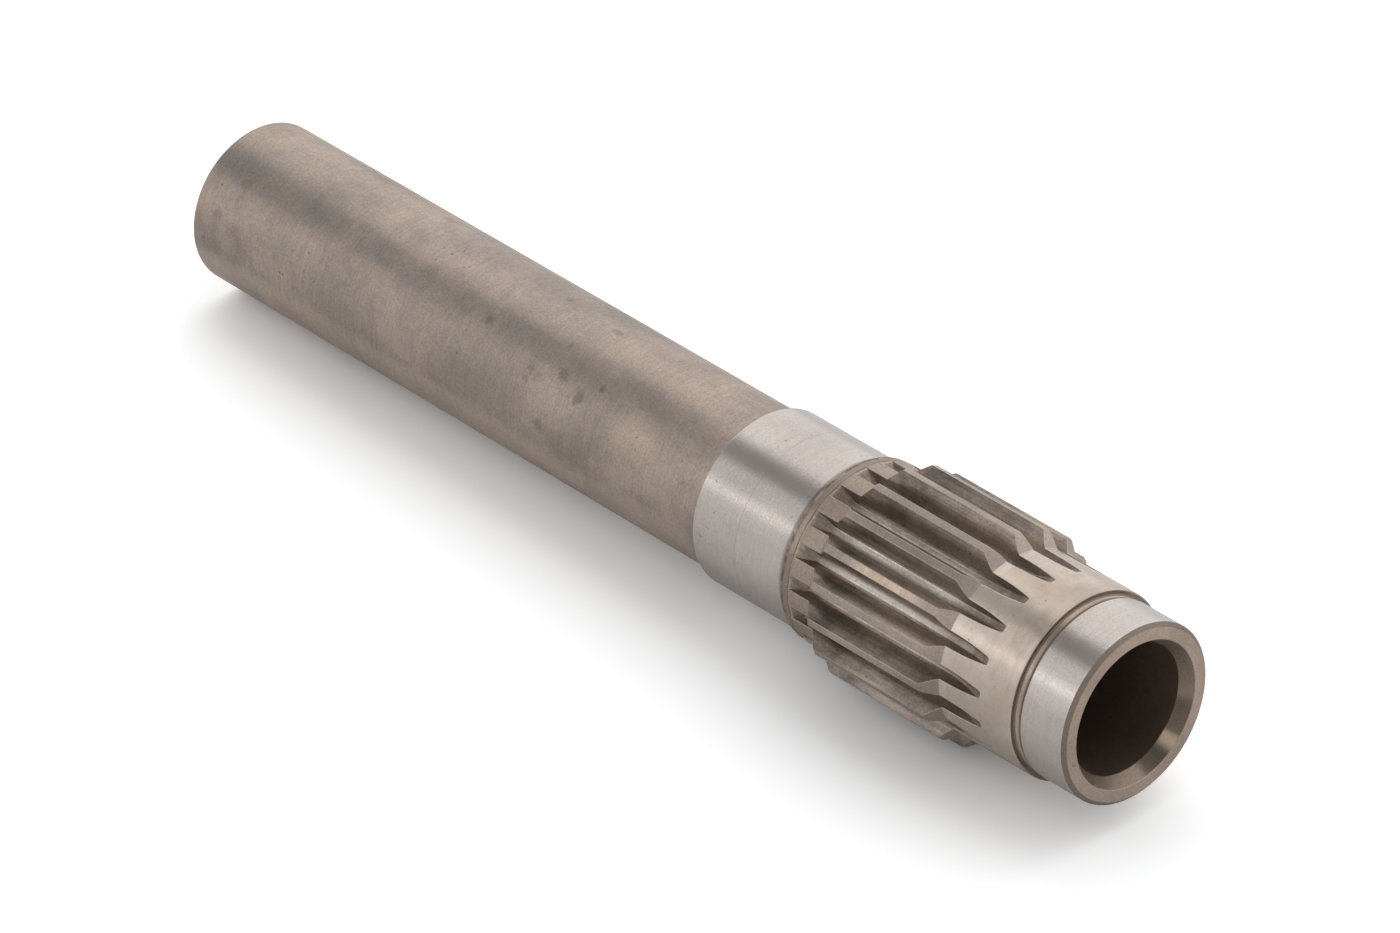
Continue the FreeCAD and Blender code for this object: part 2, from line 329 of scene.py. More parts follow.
    def stations(self) -> list[float]:
        """Lists the stations of the mesh's rings, close together where the shape turns.

        Returns:
            The stations in rising order.
        """
        size = self.sizes
        tip = self.front_full_depth - self.front_tail
        found = [self.front_station, tip - self.before_tail, tip]
        found += [tip + step for step in self.tail_steps]
        found += [self.front_full_depth, self.rear_full_depth - self.beside_ramp,
                  self.rear_full_depth + self.beside_ramp]
        found += [*self.ramp_stations, self.space_end - self.before_end, self.space_end,
                  self.space_end + self.wall_lean, self.space_end + 3 * self.wall_lean]
        for corner in (size.gear_start, size.tip_start, size.tip_end, size.gear_end):
            found += [corner + size.edge_round * step for step in self.corner_steps]
        for start, end in ((size.gear_start, size.tip_start), (size.tip_end, size.gear_end)):
            found += [start + (end - start) * share for share in self.bevel_shares]
        found += list(np.linspace(size.tip_start, size.tip_end, self.tip_stations)[1:-1])
        found += [size.collar_start]
        kept: list[float] = []
        for station in sorted(found):
            if not kept or station - kept[-1] > self.least_gap:
                kept.append(station)
        return kept

    def edge_place(self, profile: SpaceProfile, radii: np.ndarray, outer: float) -> float:
        """Finds where the outline of a tooth space comes out of the blank.

        Args:
            profile: the space's half outline at full depth.
            radii: radius of each point of the lifted outline.
            outer: radius of the blank.

        Returns:
            The running length of the outline at the edge, at least the least edge.
        """
        above = np.nonzero(radii >= outer)[0]
        if radii[0] >= outer or not len(above):
            return self.least_edge
        at, lengths = int(above[0]), profile.lengths
        share = (outer - radii[at - 1]) / max(radii[at] - radii[at - 1], 1e-9)
        return max(float(lengths[at - 1] + share * (lengths[at] - lengths[at - 1])), self.least_edge)

    def half_ring(self, profile: SpaceProfile, station: float) -> tuple[np.ndarray, float]:
        """Places the points of half a pitch, from the middle of the space to the tooth's.

        Args:
            profile: the space's half outline at full depth.
            station: where along the shaft the ring lies.

        Returns:
            The points across and up, and the depth of the space below the blank.
        """
        outer = self.outer_radius(station)
        filled = station > self.space_end + self.wall_lean / 2
        lifted = self.raised(profile.points, min(station, self.space_end))
        radii = np.hypot(lifted[:, 0], lifted[:, 1])
        depth = max(outer - float(radii[0]), 0.0)
        edge = self.edge_place(profile, radii, outer)
        cut = min(self.sizes.edge_round, self.edge_of_depth * depth, self.edge_of_length * edge)
        last = edge - self.edge_support * cut
        level = self.ramp_level(station) + self.crease_step
        crease = float(np.interp(level, profile.points[:, 1], profile.lengths))
        floor_limit = self.floor_limit_front if station < self.rear_full_depth else self.floor_limit_rear
        corner_end = min(max(profile.corner_end, crease), floor_limit * last)
        side_end = corner_end + self.side_share * (last - corner_end)
        if corner_end < profile.foot:
            side_end = min(profile.foot, side_end)
        stops = [corner_end * share for share in self.floor_shares]
        stops += list(np.linspace(corner_end, side_end, self.side_columns + 1)[1:])
        stops += list(np.linspace(side_end, last, self.flank_columns + 1)[1:]) + [edge - cut]
        across = np.interp(stops, profile.lengths, lifted[:, 0])
        up = np.interp(stops, profile.lengths, lifted[:, 1])
        inner = np.stack([across, up], 1)
        edge_angle = math.asin(min(float(np.interp(edge, profile.lengths, lifted[:, 0])) / outer, 1.0))
        over = np.hypot(across, up)
        on_blank = np.stack([across, np.sqrt(outer ** 2 - across ** 2)], 1)
        inner = np.where(((over > outer) | filled | (depth == 0.0))[:, None], on_blank, inner)
        start = edge_angle + cut / outer
        land = [start, start + self.land_support * cut / outer + self.land_gap]
        land += list(np.linspace(land[-1], self.half_pitch, self.land_columns + 1)[1:])
        outside = np.array([[outer * math.sin(angle), outer * math.cos(angle)] for angle in land])
        corner = np.array([outer * math.sin(edge_angle), outer * math.cos(edge_angle)])
        middle = [on_corner(inner[-1], corner, outside[0], share) for share in INNER_SHARES]
        return np.concatenate([inner, np.array(middle), outside]), 0.0 if filled else depth

    def pitch_mesh(self) -> bpy.types.Mesh:
        """Makes the mesh of one pitch, centred on a tooth space above the axis.

        Returns:
            The mesh, with in_space on its faces and edge_wear on its points.
        """
        profile = self.space_profile()
        stations = self.stations()
        rings, depths = [], []
        for station in stations:
            half, depth = self.half_ring(profile, station)
            mirrored = half[:0:-1] * np.array([-1.0, 1.0])
            rings.append(np.concatenate([mirrored, half]))
            depths.append(depth)
        count = len(rings[0])
        inside = self.inside_columns
        middle = (count - 1) // 2
        vertices = []
        for station, ring in zip(stations, rings):
            x = self.sizes.x(station)
            vertices += [(x, across * MM, up * MM) for across, up in ring]
        faces, in_space = [], []
        for row in range(len(rings) - 1):
            cut = depths[row] > 0.0 or depths[row + 1] > 0.0
            for column in range(count - 1):
                first = row * count + column
                faces.append((first, first + 1, first + count + 1, first + count))
                in_space.append(cut and -inside < column + 0.5 - middle < inside)
        wear = []
        for ring, depth in zip(rings, depths):
            for column in range(count):
                at_edge = abs(abs(column - middle) - inside - 0.5) < self.wear_columns
                wear.append(1.0 if depth > self.wear_depth and at_edge else 0.0)
        mesh = bpy.data.meshes.new("tooth_pitch")
        mesh.from_pydata(vertices, [], faces)
        mesh.attributes.new("in_space", "BOOLEAN", "FACE").data.foreach_set("value", in_space)
        mesh.attributes.new("edge_wear", "FLOAT", "POINT").data.foreach_set("value", wear)
        return mesh

    def repeat_tree(self) -> bpy.types.NodeTree:
        """Builds the node tree that sets the pitch round the shaft and dresses it.

        Returns:
            A node tree with the pitch, the count, the weld and both finishes as inputs.
        """
        tree = bpy.data.node_groups.new("teeth_round_the_shaft", "GeometryNodeTree")
        for name, kind in (("Pitch", "Geometry"), ("Teeth", "Int"), ("Weld Distance", "Float"),
                           ("Land Finish", "Material"), ("Space Finish", "Material")):
            tree.interface.new_socket(name, in_out="INPUT", socket_type="NodeSocket" + kind)
        tree.interface.new_socket("Teeth All Round", in_out="OUTPUT", socket_type="NodeSocketGeometry")
        kit = NodeKit(tree)
        given = kit.node("NodeGroupInput").outputs
        share = kit.math("DIVIDE", kit.node("GeometryNodeInputIndex").outputs[0], given["Teeth"])
        angle = kit.node("ShaderNodeCombineXYZ", in_X=kit.math("MULTIPLY", share, math.tau))
        points = kit.node("GeometryNodePoints", in_Count=given["Teeth"])
        around = kit.node("GeometryNodeInstanceOnPoints", in_Points=points.outputs[0],
                          in_Instance=given["Pitch"], in_Rotation=angle.outputs[0])
        real = kit.node("GeometryNodeRealizeInstances", in_0=around.outputs[0])
        weld = kit.node("GeometryNodeMergeByDistance", in_Geometry=real.outputs[0],
                        in_Distance=given["Weld Distance"])
        land = kit.node("GeometryNodeSetMaterial", in_Geometry=weld.outputs[0],
                        in_Material=given["Land Finish"])
        chosen = kit.node("GeometryNodeInputNamedAttribute", data_type="BOOLEAN", in_Name="in_space")
        space = kit.node("GeometryNodeSetMaterial", in_Geometry=land.outputs[0],
                         in_Selection=chosen.outputs["Attribute"], in_Material=given["Space Finish"])
        kit.node("NodeGroupOutput", in_0=space.outputs[0])
        return tree

    def build(self, finishes: dict[Finish, bpy.types.Material]) -> bpy.types.Mesh:
        """Sets the pitch round the shaft and gives the result as a plain mesh.

        Args:
            finishes: the material of each finish.

        Returns:
            The mesh of the whole toothed section.
        """
        holder = bpy.data.objects.new("tooth_pitch_holder", self.pitch_mesh())
        bpy.context.scene.collection.objects.link(holder)
        tree = self.repeat_tree()
        modifier = holder.modifiers.new("teeth", "NODES")
        modifier.node_group = tree
        wanted = {
            "Teeth": self.teeth,
            "Weld Distance": self.weld,
            "Land Finish": finishes[Finish.STAINED],
            "Space Finish": finishes[Finish.TOOTH_SPACE],
        }
        for item in tree.interface.items_tree:
            if item.name in wanted:
                modifier[item.identifier] = wanted[item.name]
        bpy.context.view_layer.update()
        graph = bpy.context.evaluated_depsgraph_get()
        made = bpy.data.meshes.new_from_object(holder.evaluated_get(graph))
        made.name = "toothed_section"
        holder.modifiers.remove(modifier)
        bpy.data.objects.remove(holder)
        return made


@dataclass
class TurnedSurfaces:
    """Everything turned, bored or ground, from the barrel round through the bore to the collar."""

    sizes: ShaftSizes = field(default_factory=ShaftSizes)
    columns: int = 268
    seat_bevel_length: float = 1.0
    seat_bevel_depth: float = 1.2
    front_seat_length: float = 15.27
    relief_depth: float = 0.7
    barrel_bevel: float = 0.3
    main_relief_width: float = 1.3
    main_relief_depth: float = 0.25
    seat_edge: float = 0.3
    rear_bevel: float = 0.8
    groove_points: int = 9

    def relief_floor(self) -> list[tuple[float, float]]:
        """Gives the rounded floor of the front relief groove, from the barrel wall to the seat.

        Returns:
            The floor's points as station and radius.
        """
        size = self.sizes
        half = (size.barrel_start - self.front_seat_length) / 2
        centre = self.front_seat_length + half
        radius = (half ** 2 + self.relief_depth ** 2) / (2 * self.relief_depth)
        reach = math.asin(half / radius)
        turns = np.linspace(reach, -reach, self.groove_points)
        level = size.front_seat_radius - self.relief_depth + radius
        return [(centre + radius * math.sin(turn), level - radius * math.cos(turn)) for turn in turns]

    def runs(self, front_station: float) -> list[tuple[Finish, list[tuple[float, float]]]]:
        """Lists the outline in order as runs of one finish each.

        Args:
            front_station: where the toothed section begins.

        Returns:
            Each run's finish and its corners; a run starts where the last one ended.
        """
        size = self.sizes
        floor = self.relief_floor()
        wall = (size.barrel_start, size.blank_radius - self.barrel_bevel)
        mouth = size.length - size.mouth_depth
        relief = size.main_seat_radius - self.main_relief_depth
        relief_start = size.collar_end + self.main_relief_width
        return [
            (Finish.TURNED, [(front_station, size.blank_radius),
                             (size.barrel_start + self.barrel_bevel, size.blank_radius), wall] + floor),
            (Finish.GROUND, [floor[-1], (self.seat_bevel_length, size.front_seat_radius)]),
            (Finish.FACED, [(self.seat_bevel_length, size.front_seat_radius),
                            (0.0, size.front_seat_radius - self.seat_bevel_depth),
                            (0.0, size.mouth_radius), (size.mouth_depth, size.bore_radius)]),
            (Finish.BORED, [(size.mouth_depth, size.bore_radius), (mouth, size.bore_radius)]),
            (Finish.FACED, [(mouth, size.bore_radius), (size.length, size.mouth_radius),
                            (size.length, size.shank_radius - self.rear_bevel)]),
            (Finish.STAINED, [(size.length, size.shank_radius - self.rear_bevel),
                              (size.length - self.rear_bevel, size.shank_radius),
                              (size.seat_end, size.shank_radius),
                              (size.seat_end, size.main_seat_radius - self.seat_edge)]),
            (Finish.GROUND, [(size.seat_end, size.main_seat_radius - self.seat_edge),
                             (size.seat_end - self.seat_edge, size.main_seat_radius),
                             (relief_start, size.main_seat_radius),
                             (relief_start - self.main_relief_depth, relief)]),
            (Finish.STAINED, [(relief_start - self.main_relief_depth, relief), (size.collar_end, relief),
                              (size.collar_end, size.collar_radius), (size.collar_start, size.collar_radius),
                              (size.collar_start, size.blank_radius)]),
        ]

    def outline(self, front_station: float) -> tuple[list[tuple[float, float]], list[Finish]]:
        """Joins the runs into one rounded outline with a finish for each of its steps.

        Args:
            front_station: where the toothed section begins.

        Returns:
            The outline's points, and the finish of the step after each but the last.
        """
        runs = self.runs(front_station)
        corners = [runs[0][1][0]]
        owners: list[Finish] = []
        for finish, points in runs:
            for point in points[1:]:
                corners.append(point)
                owners.append(finish)
        chain = rounded_chain(corners, self.sizes.edge_round)
        finishes = [owners[0]]
        for before, after in zip(owners, owners[1:]):
            finishes += [before] * STEPS_PER_SIDE + [after] * STEPS_PER_SIDE
        return chain, finishes[:len(chain) - 1]


@dataclass
class GearShaft:
    """The whole shaft as one closed piece of steel."""

    teeth: ToothedSection = field(default_factory=ToothedSection)
    turned: TurnedSurfaces = field(default_factory=TurnedSurfaces)
    sharp_angle: float = 38.0

    @staticmethod
    def zip_rings(mesh: bmesh.types.BMesh, first: list, second: list, slot: int) -> None:
        """Closes the strip between two rings whose numbers of points may differ.

        Args:
            mesh: the mesh that holds both rings.
            first: vertices of one ring in order round the axis.
            second: vertices of the other ring in the same order.
            slot: material slot of the new faces.
        """
        def turn(vertex: bmesh.types.BMVert) -> float:
            """Gives a vertex's angle round the axis."""
            return math.atan2(vertex.co.y, vertex.co.z) % math.tau

        one, two = sorted(first, key=turn), sorted(second, key=turn)
        a = b = 0
        done = math.inf
        while a < len(one) or b < len(two):
            next_a = turn(one[a + 1]) if a + 1 < len(one) else (math.tau if a < len(one) else done)
            next_b = turn(two[b + 1]) if b + 1 < len(two) else (math.tau if b < len(two) else done)
            here_a, here_b = one[a % len(one)], two[b % len(two)]
            if next_a <= next_b:
                corners = (here_a, one[(a + 1) % len(one)], here_b)
                a += 1
            else:
                corners = (here_a, two[(b + 1) % len(two)], here_b)
                b += 1
            made = mesh.faces.new(corners)
            made.material_index = slot

    def toothed_skin(self, finishes: dict[Finish, bpy.types.Material]) -> bmesh.types.BMesh:
        """Takes over the toothed section, with the shaft's own material slots.

        Args:
            finishes: the material of each finish.

        Returns:
            The toothed section, open at both ends.
        """
        toothed = self.teeth.build(finishes)
        names = [finishes[finish].name for finish in Finish]
        slots = [names.index(material.name) if material else 0 for material in toothed.materials]
        size = self.turned.sizes
        skin = bmesh.new()
        skin.from_mesh(toothed)
        for face in skin.faces:
            face.material_index = slots[face.material_index]
            on_barrel = face.calc_center_median().x > size.x(size.gear_start)
            if on_barrel and face.material_index == Finish.STAINED.value:
                face.material_index = Finish.TURNED.value
        return skin

    def open_ends(self, skin: bmesh.types.BMesh) -> tuple[list, list]:
        """Finds the open edges' points at the front and at the rear of the toothed section.

        Args:
            skin: the toothed section.

        Returns:
            The front ring's points and the rear ring's.
        """
        ends: dict[bool, list] = {True: [], False: []}
        size = self.turned.sizes
        middle = size.x((self.teeth.front_station + size.collar_start) / 2)
        for edge in skin.edges:
            if edge.is_boundary:
                for vertex in edge.verts:
                    ends[vertex.co.x > middle].append(vertex)
        return list(dict.fromkeys(ends[True])), list(dict.fromkeys(ends[False]))

    def add_turned(self, whole: bmesh.types.BMesh) -> None:
        """Adds the turned surfaces from the front ring round through the bore to the rear ring.

        Args:
            whole: the toothed section, which this closes.
        """
        front, rear = self.open_ends(whole)
        chain, owners = self.turned.outline(self.teeth.front_station)
        columns = self.turned.columns
        angles = [math.tau * step / columns for step in range(columns)]
        rings = []
        for station, radius in chain[1:-1]:
            x = self.turned.sizes.x(station)
            places = [(x, radius * MM * math.sin(angle), radius * MM * math.cos(angle)) for angle in angles]
            rings.append([whole.verts.new(place) for place in places])
        self.zip_rings(whole, front, rings[0], owners[0].value)
        for ring, after, owner in zip(rings, rings[1:], owners[1:]):
            for step in range(columns):
                corners = (ring[step], ring[step - 1], after[step - 1], after[step])
                whole.faces.new(corners).material_index = owner.value
        self.zip_rings(whole, rings[-1], rear, owners[-1].value)

    def build(self, finishes: dict[Finish, bpy.types.Material]) -> bpy.types.Object:
        """Joins the teeth and the turned surfaces into one object and dresses it.

        Args:
            finishes: the material of each finish.

        Returns:
            The dressed object, closed all round.
        """
        whole = self.toothed_skin(finishes)
        self.add_turned(whole)
        bmesh.ops.recalc_face_normals(whole, faces=whole.faces)
        open_edges = sum(1 for edge in whole.edges if not edge.is_manifold)
        volume = whole.calc_volume(signed=True)
        if volume < 0:
            bmesh.ops.reverse_faces(whole, faces=whole.faces)
        mesh = bpy.data.meshes.new("gear_shaft_skin")
        whole.to_mesh(mesh)
        whole.free()
        for finish in Finish:
            mesh.materials.append(finishes[finish])
        mesh.shade_smooth()
        mesh.set_sharp_from_angle(angle=math.radians(self.sharp_angle))
        piece = bpy.data.objects.new("gear_shaft_skin", mesh)
        bpy.context.scene.collection.objects.link(piece)
        LOG.info("shaft: %d faces, %d open edges, %.1f cm3",
                 len(mesh.polygons), open_edges, abs(volume) * 1e6)
        return piece


class NodeKit:
    """Adds nodes to one node tree and links them."""

    def __init__(self, tree: bpy.types.NodeTree) -> None:
        """Keeps the tree that nodes are added to."""
        self.tree = tree

    def node(self, kind: str, **settings: object) -> bpy.types.Node:
        """Adds a node, sets its properties and plain inputs, and links node sockets.

        Args:
            kind: the node's type name.
            settings: property names, or input names written with a leading in_.

        Returns:
            The new node.
        """
        made = self.tree.nodes.new(kind)
        for name, value in settings.items():
            if not name.startswith("in_"):
                setattr(made, name, value)
        for name, value in settings.items():
            if name.startswith("in_"):
                key = name[3:]
                socket = made.inputs[int(key)] if key.isdigit() else made.inputs[key.replace("_", " ")]
                if isinstance(value, bpy.types.NodeSocket):
                    self.tree.links.new(value, socket)
                else:
                    socket.default_value = value
        return made

    def math(self, operation: str, first: object, second: object = 0.0) -> bpy.types.NodeSocket:
        """Adds a math node and gives its result."""
        return self.node("ShaderNodeMath", operation=operation, in_0=first, in_1=second).outputs[0]

    def blend(self, share: object, first: object, second: object) -> bpy.types.NodeSocket:
        """Mixes two colours by a share and gives the result.

        Args:
            share: how much of the second colour shows.
            first: colour at a share of 0.
            second: colour at a share of 1.

        Returns:
            The mixed colour.
        """
        made = self.node("ShaderNodeMix", data_type="RGBA", clamp_factor=True)
        for socket, value in zip((made.inputs[0], made.inputs[6], made.inputs[7]), (share, first, second)):
            if isinstance(value, bpy.types.NodeSocket):
                self.tree.links.new(value, socket)
            else:
                socket.default_value = value
        return made.outputs[2]

    def ramp(self, value: object, low: float, high: float) -> bpy.types.NodeSocket:
        """Maps a value to 0 at low and 1 at high, smoothly and clamped.

        Args:
            value: the value to map.
            low: where the result is 0.
            high: where the result is 1.

        Returns:
            The mapped value.
        """
        made = self.node("ShaderNodeMapRange", interpolation_type="SMOOTHSTEP", in_Value=value)
        made.inputs["From Min"].default_value = low
        made.inputs["From Max"].default_value = high
        return made.outputs["Result"]


def colour(red: float, green: float, blue: float) -> Tone:
    """Turns a display colour, 0 to 255, into the linear colour that a shader takes.

    Args:
        red: red level.
        green: green level.
        blue: blue level.

    Returns:
        The colour with full cover.
    """
    def linear(level: float) -> float:
        """Turns one display level into a linear one."""
        share = level / 255
        return share / 12.92 if share <= 0.04045 else ((share + 0.055) / 1.055) ** 2.4

    return linear(red), linear(green), linear(blue), 1.0


# Features per metre: short marks round the shaft, long streaks in the tooth spaces, groups of pits
LINES_AROUND = 70.0
STREAKS_ALONG = 45.0
STREAKS_AROUND = 1300.0
PIT_GROUPS = 70.0
BLOTCHES_PER_STAIN = 4.3

# Levels of noise between which a mark goes from none to full
GRAIN_RANGE = (0.32, 0.68)
STAIN_RANGE = (0.34, 0.66)
BLOTCH_RANGE = (0.42, 0.68)
PIT_RANGE = (0.06, 0.24)
PIT_GROUP_RANGE = (0.58, 0.68)


def steel_marks_group() -> bpy.types.NodeTree:
    """Builds the shared group of marks that worked steel carries.

    Returns:
        A group whose outputs are masks: stains, blotches, grain, turned lines, streaks and pits.
    """
    tree = bpy.data.node_groups.new("worked_steel_marks", "ShaderNodeTree")
    for name in ("Stain Scale", "Grain Scale", "Line Scale", "Pit Scale"):
        tree.interface.new_socket(name, in_out="INPUT", socket_type="NodeSocketFloat")
    for name in ("Stain", "Blotch", "Grain", "Lines", "Streaks", "Pits"):
        tree.interface.new_socket(name, in_out="OUTPUT", socket_type="NodeSocketFloat")
    kit = NodeKit(tree)
    given, out = kit.node("NodeGroupInput"), kit.node("NodeGroupOutput")
    place = kit.node("ShaderNodeTexCoord").outputs["Object"]
    parts = kit.node("ShaderNodeSeparateXYZ", in_0=place)

    def stretched(along: object, around: float) -> bpy.types.NodeSocket:
        """Scales places by one value along the shaft and by another across it."""
        scaled = [kit.math("MULTIPLY", part, by) for part, by in zip(parts.outputs, (along, around, around))]
        return kit.node("ShaderNodeCombineXYZ", in_0=scaled[0], in_1=scaled[1], in_2=scaled[2]).outputs[0]

    def noise(where: object, size: object, detail: float, rough: float, distortion: float = 0.0
              ) -> bpy.types.Node:
        """Adds a noise texture, whose size is a scale in features per metre."""
        return kit.node("ShaderNodeTexNoise", in_Vector=where, in_Scale=size, in_Detail=detail,
                        in_Roughness=rough, in_Distortion=distortion)

    scale = given.outputs["Stain Scale"]
    long_place = kit.node("ShaderNodeMapping", in_Vector=place, in_Scale=(0.6, 1.0, 1.0)).outputs[0]
    found = {
        "Stain": noise(long_place, scale, 8.0, 0.62, 0.15),
        "Blotch": noise(place, kit.math("MULTIPLY", scale, BLOTCHES_PER_STAIN), 6.0, 0.68),
        "Grain": noise(place, given.outputs["Grain Scale"], 3.0, 0.75),
        "Lines": noise(stretched(given.outputs["Line Scale"], LINES_AROUND), 1.0, 4.0, 0.75),
        "Streaks": noise(stretched(STREAKS_ALONG, STREAKS_AROUND), 1.0, 3.0, 0.7),
    }
    for name, texture in found.items():
        level = texture.outputs["Fac"]
        if name in ("Grain", "Lines", "Streaks"):
            level = kit.ramp(level, *GRAIN_RANGE)
        tree.links.new(level, out.inputs[name])
    cells = kit.node("ShaderNodeTexVoronoi", in_Vector=place, in_Scale=given.outputs["Pit Scale"],
                     in_Randomness=1.0)
    groups = kit.node("ShaderNodeTexNoise", in_Vector=place, in_Scale=PIT_GROUPS, in_Detail=1.0)
    near = kit.math("SUBTRACT", 1.0, kit.ramp(cells.outputs["Distance"], *PIT_RANGE))
    chosen = kit.ramp(groups.outputs["Fac"], *PIT_GROUP_RANGE)
    tree.links.new(kit.math("MULTIPLY", near, chosen), out.inputs["Pits"])
    return tree


# No limit of a band's radii or of its sector
OUTSIDE = 99.0
HALF_TURN = 180.0


@dataclass(frozen=True)
class Band:
    """A part of the surface, between two stations, that takes on another tone.

    It may be limited to a range of radii and to a sector round the axis, whose
    middle is an angle from +Z towards +Y.
    """

    start: float
    end: float
    soft: float
    tone: Tone
    share: float
    patchy: float = 0.0
    radii: tuple[float, float] = (0.0, OUTSIDE)
    sector: tuple[float, float] = (0.0, HALF_TURN)
    sector_soft: float = 4.0
    radius_soft: float = 0.1
    patch_spread: tuple[float, float] = (0.15, 0.1)

    def mask(self, kit: NodeKit, where: "SurfacePlace", blotch: bpy.types.NodeSocket
             ) -> bpy.types.NodeSocket:
        """Gives how much of the band's tone each place of the surface takes on.

        Args:
            kit: where the nodes are added.
            where: the shaded place, taken apart.
            blotch: noise that breaks the band into patches.

        Returns:
            The mask, 0 to the band's share.
        """
        inside = kit.math("SUBTRACT", kit.ramp(where.station, self.start - self.soft, self.start + self.soft),
                          kit.ramp(where.station, self.end - self.soft, self.end + self.soft))
        low, high = self.radii
        soft = self.radius_soft
        if low > 0.0:
            inside = kit.math("MULTIPLY", inside, kit.ramp(where.radius, low - soft, low + soft))
        if high < OUTSIDE:
            inside = kit.math("MULTIPLY", inside, kit.ramp(where.radius, high + soft, high - soft))
        centre, half = self.sector
        if half < HALF_TURN:
            nearness = where.nearness(kit, math.radians(centre))
            inside = kit.math("MULTIPLY", inside, kit.ramp(
                nearness, math.cos(math.radians(half + self.sector_soft)),
                math.cos(math.radians(max(half - self.sector_soft, 0.0)))))
        if self.patchy:
            below, above = self.patch_spread
            patches = kit.ramp(blotch, 0.5 - below / self.patchy, 0.5 + above / self.patchy)
            inside = kit.math("MULTIPLY", inside, patches)
        return kit.math("MULTIPLY", inside, self.share)


@dataclass(frozen=True)
class Spot:
    """A small stain or nick with a ragged edge, at one station and angle of the surface."""

    station: float
    angle: float
    reach: float
    tone: Tone
    share: float
    radius: float = ShaftSizes.shank_radius
    raggedness: float = 7.0
    fade: float = 1.2

    def mask(self, kit: NodeKit, where: "SurfacePlace", blotch: bpy.types.NodeSocket
             ) -> bpy.types.NodeSocket:
        """Gives how much of the spot's tone each place of the surface takes on.

        Args:
            kit: where the nodes are added.
            where: the shaded place, taken apart.
            blotch: noise that makes the edge ragged.

        Returns:
            The mask, 0 to the spot's share.
        """
        turn = math.radians(self.angle)
        centre = (ShaftSizes().x(self.station),
                  self.radius * MM * math.sin(turn), self.radius * MM * math.cos(turn))
        away = kit.node("ShaderNodeVectorMath", operation="DISTANCE", in_0=where.place, in_1=centre)
        ragged = kit.math("MULTIPLY", kit.math("SUBTRACT", blotch, 0.5), self.raggedness * self.reach * MM)
        edge = kit.math("ADD", away.outputs["Value"], ragged)
        return kit.math("MULTIPLY", kit.ramp(edge, self.fade * self.reach * MM, 0.0), self.share)


class SurfacePlace:
    """Where a shaded place lies on the shaft: its station, its radius and its direction."""

    def __init__(self, kit: NodeKit) -> None:
        """Takes the place apart once, for all the bands and spots of one material.

        Args:
            kit: where the nodes are added.
        """
        self.place = kit.node("ShaderNodeTexCoord").outputs["Object"]
        parts = kit.node("ShaderNodeSeparateXYZ", in_0=self.place).outputs
        self.station = kit.math("SUBTRACT", ShaftSizes.length / 2, kit.math("DIVIDE", parts[0], MM))
        self.across = parts[1]
        self.up = parts[2]
        squares = kit.math("ADD", kit.math("MULTIPLY", self.across, self.across),
                           kit.math("MULTIPLY", self.up, self.up))
        self.radius = kit.math("DIVIDE", kit.math("SQRT", squares), MM)

    def nearness(self, kit: NodeKit, turn: float) -> bpy.types.NodeSocket:
        """Gives the cosine of the angle round the axis between the place and a direction.

        Args:
            kit: where the nodes are added.
            turn: the direction, from +Z towards +Y.

        Returns:
            The cosine, 1 in the direction itself.
        """
        along = kit.math("ADD", kit.math("MULTIPLY", self.across, math.sin(turn)),
                         kit.math("MULTIPLY", self.up, math.cos(turn)))
        return kit.math("DIVIDE", along, kit.math("MULTIPLY", self.radius, MM))


